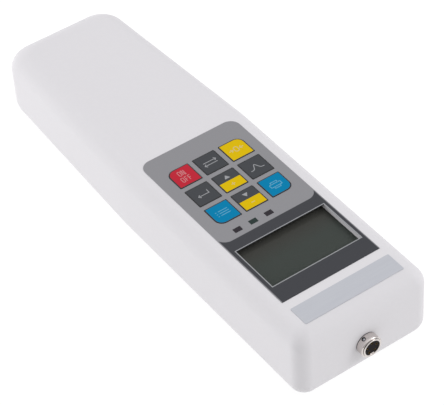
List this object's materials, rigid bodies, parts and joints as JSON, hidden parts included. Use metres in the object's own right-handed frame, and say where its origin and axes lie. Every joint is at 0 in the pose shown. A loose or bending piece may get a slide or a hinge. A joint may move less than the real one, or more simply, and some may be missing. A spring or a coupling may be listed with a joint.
{
  "type": "digital force gauge",
  "caption": "Handheld digital force gauge with a tapered casing, recessed display, membrane keypad, indicator windows and a round socket for a remote load cell.",
  "frame": {"origin": "middle of the flat back of the casing, on the back's plane", "axes": "+Y along the casing to the handle end, +Z out of the keypad side, +X to the right for someone reading the keys with the handle end up"},
  "size_m": [0.066, 0.2354, 0.0364],
  "materials": {
    "casing": "white powder coat on die-cast aluminium, satin",
    "label": "silver polyester label, satin",
    "overlay": "screen-printed polyester film, fine matt texture",
    "key_red": "printed polyester, matt",
    "key_dark": "printed polyester, matt",
    "key_yellow": "printed polyester, matt",
    "key_blue": "printed polyester, matt",
    "keypad_film": "polyester film",
    "dome_steel": "stamped spring steel",
    "window": "clear acrylic sheet",
    "lcd": "display glass under a polariser, unlit",
    "black_plastic": "moulded plastic",
    "backlight": "light guide",
    "strip_rubber": "layered elastomer",
    "board": "circuit board with solder mask",
    "connector": "moulded nylon",
    "lens_red": "dark red tinted acrylic",
    "lens_green": "dark green tinted acrylic",
    "led": "moulded lamp",
    "cell": "nickel-plated cell can",
    "wrap": "shrink film",
    "clamp": "folded sheet",
    "zinc_screw": "zinc-plated",
    "brass": "turned, knurled",
    "nickel": "satin nickel plate on turned brass",
    "gold_contact": "gold-plated contact",
    "lead": "insulated wire"
  },
  "bodies": {
    "housing": {"front_housing": "casing", "back_cover": "casing", "case_screws": "zinc_screw", "mount_inserts": "brass", "name_label": "label", "graphic_overlay": "overlay", "keypad_spacer": "keypad_film", "keypad_circuit": "keypad_film", "dome_power": "dome_steel", "dome_mode": "dome_steel", "dome_zero": "dome_steel", "dome_set": "dome_steel", "dome_up": "dome_steel", "dome_peak": "dome_steel", "dome_memory": "dome_steel", "dome_down": "dome_steel", "dome_print": "dome_steel", "display_window": "window", "lcd_glass": "lcd", "lcd_frame": "black_plastic", "lcd_backlight": "backlight", "contact_strips": "strip_rubber", "main_board": "board", "board_screws": "zinc_screw", "microcontroller": "black_plastic", "converter_chip": "black_plastic", "buzzer": "black_plastic", "keypad_connector": "connector", "lead_headers": "connector", "indicator_low": "lens_red", "indicator_good": "lens_green", "indicator_high": "lens_red", "indicator_leds": "led", "battery_cells": "cell", "battery_wrap": "wrap", "battery_clamp": "clamp", "clamp_screws": "zinc_screw", "battery_leads": "lead", "socket_shell": "nickel", "socket_lock_screw": "zinc_screw", "socket_insert": "black_plastic", "socket_contacts": "gold_contact", "socket_nut": "nickel", "sensor_lead": "lead", "charge_jack": "black_plastic", "charge_pin": "nickel", "data_socket": "nickel", "data_insert": "black_plastic", "rear_nuts": "nickel", "rear_leads": "lead"},
    "key_power": {"key_power": "key_red"},
    "key_mode": {"key_mode": "key_dark"},
    "key_zero": {"key_zero": "key_yellow"},
    "key_set": {"key_set": "key_dark"},
    "key_up": {"key_up": "key_dark"},
    "key_peak": {"key_peak": "key_dark"},
    "key_memory": {"key_memory": "key_blue"},
    "key_down": {"key_down": "key_dark"},
    "key_print": {"key_print": "key_blue"}
  },
  "joints": [
    {"name": "press_power", "type": "slide", "parent": "housing", "child": "key_power", "axis": [0, 0, -1], "range_m": [0, 0.0003], "stiffness_N_per_m": 1000, "springref_m": -0.0015, "deforming": ["dome_power"]},
    {"name": "press_mode", "type": "slide", "parent": "housing", "child": "key_mode", "axis": [0, 0, -1], "range_m": [0, 0.0003], "stiffness_N_per_m": 1000, "springref_m": -0.0015, "deforming": ["dome_mode"]},
    {"name": "press_zero", "type": "slide", "parent": "housing", "child": "key_zero", "axis": [0, 0, -1], "range_m": [0, 0.0003], "stiffness_N_per_m": 1000, "springref_m": -0.0015, "deforming": ["dome_zero"]},
    {"name": "press_set", "type": "slide", "parent": "housing", "child": "key_set", "axis": [0, 0, -1], "range_m": [0, 0.0003], "stiffness_N_per_m": 1000, "springref_m": -0.0015, "deforming": ["dome_set"]},
    {"name": "press_up", "type": "slide", "parent": "housing", "child": "key_up", "axis": [0, 0, -1], "range_m": [0, 0.0003], "stiffness_N_per_m": 1000, "springref_m": -0.0015, "deforming": ["dome_up"]},
    {"name": "press_peak", "type": "slide", "parent": "housing", "child": "key_peak", "axis": [0, 0, -1], "range_m": [0, 0.0003], "stiffness_N_per_m": 1000, "springref_m": -0.0015, "deforming": ["dome_peak"]},
    {"name": "press_memory", "type": "slide", "parent": "housing", "child": "key_memory", "axis": [0, 0, -1], "range_m": [0, 0.0003], "stiffness_N_per_m": 1000, "springref_m": -0.0015, "deforming": ["dome_memory"]},
    {"name": "press_down", "type": "slide", "parent": "housing", "child": "key_down", "axis": [0, 0, -1], "range_m": [0, 0.0003], "stiffness_N_per_m": 1000, "springref_m": -0.0015, "deforming": ["dome_down"]},
    {"name": "press_print", "type": "slide", "parent": "housing", "child": "key_print", "axis": [0, 0, -1], "range_m": [0, 0.0003], "stiffness_N_per_m": 1000, "springref_m": -0.0015, "deforming": ["dome_print"]}
  ]
}
